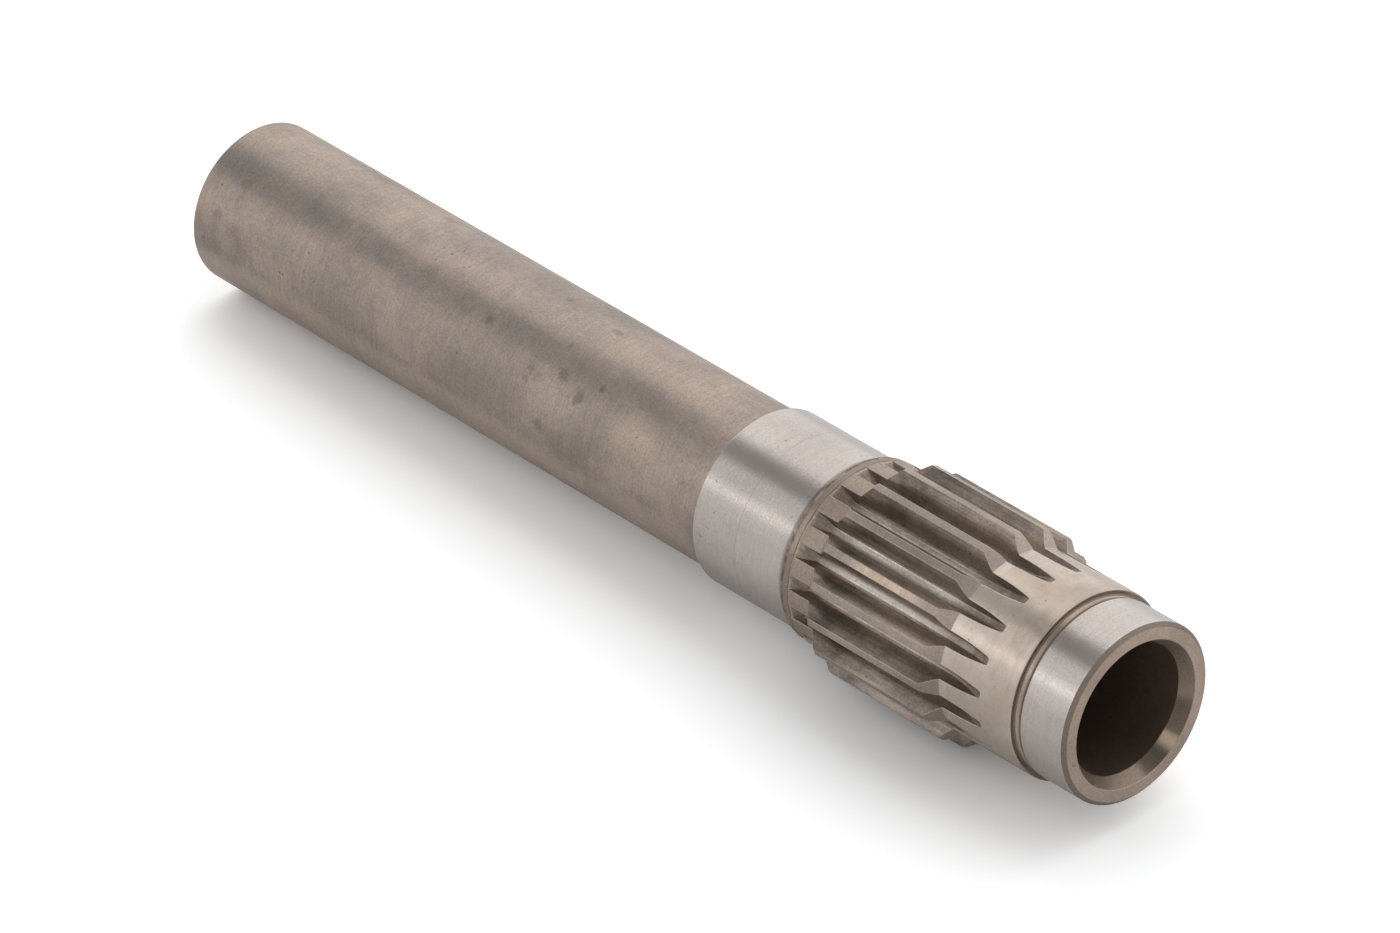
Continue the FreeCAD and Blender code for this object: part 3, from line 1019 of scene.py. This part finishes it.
@dataclass(frozen=True)
class SteelFinish:
    """One finish of the shaft's steel: its tones, its marks and its gloss."""

    name: str
    pale: Tone
    dark: Tone
    tint: Tone
    roughness: float
    roughness_spread: float
    bump: float
    line_share: float
    streak_share: float = 0.0
    tint_share: float = 0.3
    grain_contrast: float = 0.24
    stain_scale: float = 42.0
    grain_scale: float = 2600.0
    line_scale: float = 2400.0
    pit_scale: float = 420.0
    pit_share: float = 0.5
    metallic: float = 0.8
    wear_tone: Tone = (0.62, 0.55, 0.47, 1.0)
    pit_tone: Tone = (0.02, 0.017, 0.014, 1.0)
    least_wear: float = 0.15
    pit_depth: float = 1.5
    bump_distance: float = 0.00006
    bands: tuple[Band, ...] = ()
    spots: tuple[Spot, ...] = ()

    def banded(self, kit: NodeKit, base: bpy.types.NodeSocket, blotch: bpy.types.NodeSocket
               ) -> bpy.types.NodeSocket:
        """Lays the finish's bands and spots over a colour and gives the result.

        Args:
            kit: where the nodes are added.
            base: the colour underneath.
            blotch: noise for patches and ragged edges.

        Returns:
            The colour with all its marks.
        """
        where = SurfacePlace(kit)
        for mark in (*self.bands, *self.spots):
            base = kit.blend(mark.mask(kit, where, blotch), base, mark.tone)
        return base

    def build(self, marks: bpy.types.NodeTree) -> bpy.types.Material:
        """Makes the material with its marks in the shared group's masks.

        Args:
            marks: the shared group of marks.

        Returns:
            The finished material.
        """
        made = bpy.data.materials.new(self.name)
        made.use_nodes = True
        tree = made.node_tree
        tree.nodes.clear()
        kit = NodeKit(tree)
        group = kit.node("ShaderNodeGroup", node_tree=marks)
        for socket, value in (("Stain Scale", self.stain_scale), ("Grain Scale", self.grain_scale),
                              ("Line Scale", self.line_scale), ("Pit Scale", self.pit_scale)):
            group.inputs[socket].default_value = value
        mask = group.outputs
        base = kit.blend(kit.ramp(mask["Stain"], *STAIN_RANGE), self.dark, self.pale)
        tinted = kit.math("MULTIPLY", kit.ramp(mask["Blotch"], *BLOTCH_RANGE), self.tint_share)
        base = self.banded(kit, kit.blend(tinted, base, self.tint), mask["Blotch"])
        fine = kit.blend(self.line_share, mask["Grain"], mask["Lines"])
        fine = kit.blend(self.streak_share, fine, mask["Streaks"])
        value = kit.math("ADD", 1.0 - self.grain_contrast,
                         kit.math("MULTIPLY", fine, 2 * self.grain_contrast))
        shade = kit.node("ShaderNodeHueSaturation", in_Color=base, in_Value=value)
        pits = kit.math("MULTIPLY", mask["Pits"], self.pit_share)
        pitted = kit.blend(pits, shade.outputs[0], self.pit_tone)
        wear = kit.node("ShaderNodeAttribute", attribute_name="edge_wear").outputs["Fac"]
        speckled = kit.math("MULTIPLY", wear, kit.math("ADD", self.least_wear, mask["Grain"]))
        worn = kit.blend(speckled, pitted, self.wear_tone)
        rough = kit.math("ADD", self.roughness - self.roughness_spread / 2,
                         kit.math("MULTIPLY", kit.math("SUBTRACT", 1.0, fine), self.roughness_spread))
        height = kit.math("SUBTRACT", fine, kit.math("MULTIPLY", mask["Pits"], self.pit_depth))
        bump = kit.node("ShaderNodeBump", in_Strength=self.bump, in_Distance=self.bump_distance,
                        in_Height=height)
        shader = kit.node("ShaderNodeBsdfPrincipled", in_Metallic=self.metallic, in_Base_Color=worn,
                          in_Roughness=rough, in_Normal=bump.outputs["Normal"])
        out = kit.node("ShaderNodeOutputMaterial")
        tree.links.new(shader.outputs[0], out.inputs["Surface"])
        return made


# Tones that several marks share
BLUE_STAIN = colour(128, 124, 124)
TAN_STAIN = colour(204, 184, 166)
SPOT_DARK = colour(92, 86, 84)
SPOT_MID = colour(96, 90, 88)
SPOT_WARM = colour(96, 88, 84)
SEAT_NICK = colour(110, 100, 94)
MOUTH_NICK = colour(60, 52, 46)
GROOVE_SHADE = colour(84, 72, 63)

# Radii of the toothed section and of both end faces
TOOTH_TIPS = (29.2, OUTSIDE)
SPACE_FLOOR = (0.0, 24.1)
SPACE_SIDES = (24.3, OUTSIDE)
TAIL_SIDES = (24.2, OUTSIDE)
FACE_EDGE = (23.82, OUTSIDE)
MOUTH_CONE = (0.0, 20.45)
INSIDE_CONE = (0.0, 20.4)

# Reflections in the front mouth: tone, share, patchiness, and the sector's middle and half width
MOUTH_REFLECTIONS = (
    (colour(88, 79, 72), 0.75, 0.0, (120.0, 13.0)),
    (colour(214, 190, 164), 0.75, 0.0, (141.0, 3.0)),
    (colour(84, 75, 68), 0.75, 0.0, (158.0, 11.0)),
    (colour(176, 154, 134), 0.5, 0.5, (188.0, 14.0)),
)

# Stains of the shank: station, angle from +Z towards +Y, reach, tone and share
SHANK_SPOTS = (
    (188.0, -49.4, 2.4, SPOT_DARK, 0.45),
    (197.0, -41.4, 1.8, SPOT_DARK, 0.42),
    (207.0, -49.4, 2.8, SPOT_MID, 0.42),
    (183.0, -36.4, 1.4, colour(84, 78, 76), 0.45),
    (199.0, -79.4, 1.8, SPOT_DARK, 0.3),
    (229.0, -34.4, 1.6, colour(90, 84, 82), 0.42),
    (195.0, 5.6, 1.6, SPOT_WARM, 0.34),
    (216.0, 10.6, 1.4, SPOT_WARM, 0.34),
    (201.0, -21.4, 1.5, SPOT_DARK, 0.34),
    (327.0, -39.4, 2.0, SPOT_MID, 0.3),
    (333.0, -66.4, 1.8, SPOT_MID, 0.3),
    (271.0, 22.6, 1.6, SPOT_WARM, 0.3),
    (145.0, -62.4, 1.4, SPOT_DARK, 0.34),
)

STEEL_FINISHES = {
    Finish.STAINED: SteelFinish(
        "matt_stained_steel",
        pale=colour(190, 172, 159), dark=colour(160, 148, 139), tint=colour(148, 144, 144),
        roughness=0.46, roughness_spread=0.1, bump=0.3, line_share=0.3, grain_contrast=0.17,
        grain_scale=1700.0, line_scale=1300.0, bands=(
            # Painted reflection: a lighter strip along the shank's lower front side, where the steel mirrors
            # the table.
            Band(140.0, 345.0, 4.0, colour(225, 206, 190), 0.3, sector=(-112.0, 14.0), sector_soft=8.0),
            # Painted highlight: a glint on the tooth tips that face the light.
            Band(54.0, 77.0, 4.0, colour(238, 214, 190), 1.0, 0.25, radii=TOOTH_TIPS, sector=(-50.0, 8.0)),
            Band(88.5, 99.7, 1.0, colour(170, 153, 138), 0.5),
            Band(99.4, 99.72, 0.08, GROOVE_SHADE, 0.75),
            Band(99.8, 101.5, 0.2, colour(150, 136, 123), 0.7),
            # Painted highlight: a lighter strip on the collar where the glint falls.
            Band(99.9, 101.2, 0.3, colour(196, 176, 156), 0.6, sector=(-49.0, 12.0)),
            Band(101.5, 102.6, 0.3, colour(78, 66, 57), 0.7, 1.0),
            Band(196.0, 350.0, 14.0, colour(132, 130, 131), 0.45, 0.3, sector=(-32.0, 7.0), sector_soft=6.0),
            Band(157.0, 174.0, 6.0, colour(204, 183, 164), 0.5, 0.5, sector=(-54.0, 12.0), sector_soft=8.0),
            Band(150.0, 200.0, 9.0, TAN_STAIN, 0.45, 0.4, sector=(-6.0, 8.0), sector_soft=7.0),
            Band(308.0, 342.0, 8.0, TAN_STAIN, 0.4, 0.4, sector=(-6.0, 8.0), sector_soft=7.0),
            Band(298.7, 299.3, 0.2, colour(120, 112, 106), 0.2, 0.5, sector=(-70.0, 30.0), sector_soft=12.0),
            Band(316.0, 342.0, 7.0, BLUE_STAIN, 0.5, 0.4, sector=(-82.0, 12.0), sector_soft=8.0),
            Band(183.0, 199.0, 6.0, BLUE_STAIN, 0.45, 0.4, sector=(-90.0, 9.0), sector_soft=7.0),
        ), spots=tuple(Spot(*values) for values in SHANK_SPOTS)),
    Finish.TURNED: SteelFinish(
        "turned_barrel_steel",
        pale=colour(212, 198, 184), dark=colour(192, 174, 158), tint=colour(190, 184, 182),
        roughness=0.23, roughness_spread=0.08, bump=0.08, line_share=0.4, grain_contrast=0.09,
        grain_scale=1700.0, line_scale=1500.0, metallic=0.72, stain_scale=60.0, bands=(
            # Painted sheen: the barrel's upper front side made lighter where it catches the light.
            Band(17.9, 43.3, 0.4, colour(238, 224, 210), 0.68, 0.4, sector=(-42.0, 24.0), sector_soft=12.0),
            # Painted shade: the barrel's top, turned slightly away, made darker.
            Band(17.9, 43.3, 0.4, colour(172, 158, 146), 0.4, 0.4, sector=(12.0, 18.0), sector_soft=10.0),
            Band(40.9, 43.4, 0.2, colour(232, 221, 208), 0.3),
            # Painted shade: the relief groove's wall at the barrel made dark.
            Band(17.45, 17.86, 0.06, colour(92, 79, 69), 0.75),
            Band(15.2, 15.62, 0.08, GROOVE_SHADE, 0.8),
            Band(15.7, 17.4, 0.2, colour(176, 156, 138), 0.6),
        )),
    Finish.GROUND: SteelFinish(
        "ground_seat_steel",
        pale=colour(212, 203, 197), dark=colour(200, 190, 184), tint=colour(190, 184, 181),
        roughness=0.2, roughness_spread=0.08, bump=0.2, line_share=0.35, pit_share=0.35, grain_contrast=0.11,
        grain_scale=1900.0, line_scale=1900.0, metallic=0.86, bands=(
            # Painted highlight: a lighter strip along the front seat where the glint falls.
            Band(0.8, 15.0, 0.4, colour(240, 232, 226), 0.4, sector=(-52.0, 12.0), sector_soft=9.0),
            Band(120.88, 121.12, 0.08, colour(132, 124, 119), 0.35, 0.6),
            Band(103.0, 104.1, 0.25, colour(120, 108, 98), 0.5),
        ), spots=(
            Spot(134.0, -86.0, 0.5, SEAT_NICK, 0.45, ShaftSizes.main_seat_radius),
            Spot(133.2, -50.0, 0.4, SEAT_NICK, 0.45, ShaftSizes.main_seat_radius),
        )),
    Finish.TOOTH_SPACE: SteelFinish(
        "cut_tooth_space_steel",
        pale=colour(186, 172, 160), dark=colour(150, 137, 127), tint=colour(116, 105, 97),
        roughness=0.34, roughness_spread=0.16, bump=0.5, line_share=0.0, streak_share=0.5, tint_share=0.45,
        grain_contrast=0.32, grain_scale=1500.0, bands=(
            # Painted highlight: the tooth-space floors made pale, as where they catch the light.
            Band(48.0, 88.0, 5.0, colour(240, 234, 226), 0.85, 0.3, radii=SPACE_FLOOR),
            Band(75.0, 91.0, 7.0, colour(58, 50, 44), 0.7, 0.2, radii=SPACE_SIDES),
            # Painted shade: the ramps at the rear end of the tooth spaces made darker.
            Band(93.0, 98.8, 1.5, colour(126, 112, 100), 0.75),
            # Painted highlight: a bright line at the square end of each tooth space.
            Band(98.9, 99.6, 0.12, colour(206, 188, 170), 0.5),
            # Painted shade: the sides of the run-out grooves in front of the teeth made darker.
            Band(28.0, 43.0, 3.0, colour(112, 99, 89), 0.5, radii=TAIL_SIDES),
        )),
    Finish.FACED: SteelFinish(
        "faced_end_steel",
        pale=colour(192, 172, 157), dark=colour(172, 153, 139), tint=colour(158, 142, 130),
        roughness=0.38, roughness_spread=0.14, bump=0.35, line_share=0.1, grain_contrast=0.14, bands=(
            Band(-1.0, 1.3, 0.1, colour(126, 114, 104), 0.85, radii=FACE_EDGE),
            Band(0.02, 6.0, 0.02, colour(152, 138, 126), 0.8, radii=MOUTH_CONE),
            *(Band(0.1, 6.0, 0.1, tone, share, patchy, INSIDE_CONE, sector, 6.0)
              for tone, share, patchy, sector in MOUTH_REFLECTIONS),
        ), spots=(
            Spot(1.8, 72.0, 0.7, MOUTH_NICK, 0.7, 19.4),
            Spot(2.4, 86.0, 0.6, MOUTH_NICK, 0.7, 19.1),
            Spot(1.6, 208.0, 0.7, colour(70, 60, 52), 0.6, 19.5),
        )),
    Finish.BORED: SteelFinish(
        "oiled_bore_steel",
        pale=colour(152, 134, 120), dark=colour(134, 118, 106), tint=colour(120, 106, 96),
        roughness=0.42, roughness_spread=0.1, bump=0.2, line_share=0.2, grain_contrast=0.1),
}


@dataclass(frozen=True)
class StudioFloor:
    """The pale table that the shaft lies on, touching two tooth tips and the shank's end."""

    span: float = 6.0
    rear_touch: tuple[float, float] = (-0.171, -0.02325)
    front_touch: tuple[float, float] = (0.08311, -0.02971)
    whiteness: float = 0.9
    seen_whiteness: float = 1.28
    seen_tint: tuple[float, float, float] = (0.99, 1.0, 1.01)
    mirrored_near: float = 0.6
    mirrored_far: float = 0.72
    mirrored_reach: float = 0.06
    sink: float = 2e-5

    def build(self) -> bpy.types.Object:
        """Makes the table and marks it as stage.

        Returns:
            The table.
        """
        (x0, z0), (x1, z1) = self.rear_touch, self.front_touch
        slope = (z1 - z0) / (x1 - x0)
        half = self.span / 2
        places = ((-half, -half), (half, -half), (half, half), (-half, half))
        corners = [(x, y, z0 + (x - x0) * slope - self.sink) for x, y in places]
        mesh = bpy.data.meshes.new("studio_floor")
        mesh.from_pydata(corners, [], [(0, 1, 2, 3)])
        mesh.materials.append(self.finish())
        floor = bpy.data.objects.new("studio_floor", mesh)
        bpy.context.scene.collection.objects.link(floor)
        return floor

    def finish(self) -> bpy.types.Material:
        """Makes white paper that keeps the shaft's shadow and is darker where the steel mirrors it.

        Returns:
            The table's material.
        """
        made = bpy.data.materials.new("white_paper")
        made.use_nodes = True
        tree = made.node_tree
        tree.nodes.clear()
        kit = NodeKit(tree)
        path = kit.node("ShaderNodeLightPath")
        place = kit.node("ShaderNodeTexCoord").outputs["Object"]
        across = kit.node("ShaderNodeSeparateXYZ", in_0=place).outputs[1]
        mirrored = kit.blend(kit.ramp(across, 0.0, self.mirrored_reach),
                             (*[self.mirrored_near] * 3, 1.0), (*[self.mirrored_far] * 3, 1.0))
        seen = (*[self.seen_whiteness * share for share in self.seen_tint], 1.0)
        plain = kit.blend(path.outputs["Is Camera Ray"], (*[self.whiteness] * 3, 1.0), seen)
        tone = kit.blend(path.outputs["Is Glossy Ray"], plain, mirrored)
        paper = kit.node("ShaderNodeBsdfDiffuse", in_Color=tone)
        out = kit.node("ShaderNodeOutputMaterial")
        tree.links.new(paper.outputs[0], out.inputs["Surface"])
        return made


@dataclass(frozen=True)
class KeyLamp:
    """A broad lamp behind the shaft, on the shank's side, that throws its soft shadow on the table."""

    towards: tuple[float, float, float] = (-0.6, 0.4, 0.8)
    spread: float = 110.0
    strength: float = 1.1

    def build(self) -> bpy.types.Object:
        """Makes the lamp, which lights the table but isn't mirrored in the steel.

        Returns:
            The lamp.
        """
        data = bpy.data.lights.new("key_lamp", "SUN")
        data.energy = self.strength
        data.angle = math.radians(self.spread)
        lamp = bpy.data.objects.new("key_lamp", data)
        lamp.rotation_euler = Vector(self.towards).to_track_quat("Z", "Y").to_euler()
        lamp.visible_glossy = False
        bpy.context.scene.collection.objects.link(lamp)
        return lamp


@dataclass(frozen=True)
class LightTent:
    """Soft light all round: a front and a rear panel above the shaft, with a gap between."""

    gap_start: float = -25.8
    gap_end: float = 3.2
    front_panel: float = 0.66
    rear_panel: float = 1.0
    gap: float = 0.23
    glint_angle: float = -60.8
    glint: float = 0.6
    front_start: float = -89.0
    front_soft: float = 1.5
    gap_soft: float = 0.6
    rear_soft: float = 7.0
    glint_core: float = 1.0
    glint_reach: float = 9.0
    tint: Tone = (1.0, 0.995, 0.99, 1.0)

    def build(self) -> bpy.types.World:
        """Makes the world whose brightness changes only round the shaft's axis.

        Returns:
            The world, already given to the scene.
        """
        world = bpy.data.worlds.new("light_tent")
        world.use_nodes = True
        tree = world.node_tree
        tree.nodes.clear()
        kit = NodeKit(tree)
        sight = kit.node("ShaderNodeTexCoord").outputs["Generated"]
        way = kit.node("ShaderNodeSeparateXYZ", in_0=sight)
        angle = kit.math("MULTIPLY", kit.math("ARCTAN2", way.outputs[1], way.outputs[2]), 180 / math.pi)

        def step(at: float, soft: float) -> bpy.types.NodeSocket:
            """Goes from 0 to 1 round an angle."""
            return kit.ramp(angle, at - soft, at + soft)

        front = kit.math("SUBTRACT", step(self.front_start, self.front_soft),
                         step(self.gap_start, self.gap_soft))
        rear = step(self.gap_end, self.rear_soft)
        offset = kit.math("ABSOLUTE", kit.math("SUBTRACT", angle, self.glint_angle))
        beside = kit.ramp(offset, self.glint_core, self.glint_reach)
        glint = kit.math("MULTIPLY", kit.math("SUBTRACT", 1.0, beside), self.glint)
        lit = kit.math("ADD", kit.math("MULTIPLY", front, self.front_panel - self.gap),
                       kit.math("MULTIPLY", rear, self.rear_panel - self.gap))
        lit = kit.math("ADD", kit.math("ADD", lit, self.gap), glint)
        path = kit.node("ShaderNodeLightPath")
        strength = kit.node("ShaderNodeMix", data_type="FLOAT")
        tree.links.new(path.outputs["Is Camera Ray"], strength.inputs[0])
        tree.links.new(lit, strength.inputs[2])
        strength.inputs[3].default_value = 1.0
        sky = kit.node("ShaderNodeBackground", in_Color=self.tint, in_Strength=strength.outputs[0])
        out = kit.node("ShaderNodeOutputWorld")
        tree.links.new(sky.outputs[0], out.inputs["Surface"])
        bpy.context.scene.world = world
        return world


@dataclass(frozen=True)
class StudioCamera:
    """The camera of the photograph, in the shaft's own frame."""

    spot: tuple[float, float, float] = (1.487385, -1.249766, 1.291658)
    right: tuple[float, float, float] = (0.666387, 0.744395, -0.042473)
    up: tuple[float, float, float] = (-0.390835, 0.397254, 0.830323)
    lens: float = 231.1232
    sensor: float = 36.0

    def build(self) -> bpy.types.Object:
        """Makes the camera and gives it to the scene.

        Returns:
            The camera.
        """
        data = bpy.data.cameras.new("studio_camera")
        data.sensor_width = self.sensor
        data.lens = self.lens
        data.clip_start, data.clip_end = 0.1, 20.0
        camera = bpy.data.objects.new("studio_camera", data)
        right, up = Vector(self.right).normalized(), Vector(self.up)
        up = (up - right * up.dot(right)).normalized()
        turned = Matrix((right, up, right.cross(up))).transposed().to_4x4()
        camera.matrix_world = Matrix.Translation(Vector(self.spot)) @ turned
        bpy.context.scene.collection.objects.link(camera)
        bpy.context.scene.camera = camera
        return camera


def main() -> None:
    """Builds the shaft, the stage, the light and the camera in order."""
    logging.basicConfig(level=logging.INFO, format="%(name)s: %(message)s")
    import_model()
    marks = steel_marks_group()
    finishes = {finish: STEEL_FINISHES[finish].build(marks) for finish in Finish}
    LOG.info("finishes: %s", ", ".join(material.name for material in finishes.values()))
    piece = GearShaft().build(finishes)
    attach(piece, BODY)
    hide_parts(NODE)
    LOG.info("floor: %s", StudioFloor().build().name)
    LOG.info("light: %s and %s", LightTent().build().name, KeyLamp().build().name)
    LOG.info("camera: %s", StudioCamera().build().name)
    bpy.context.scene.view_settings.view_transform = "Standard"


if __name__ == "__main__":
    main()
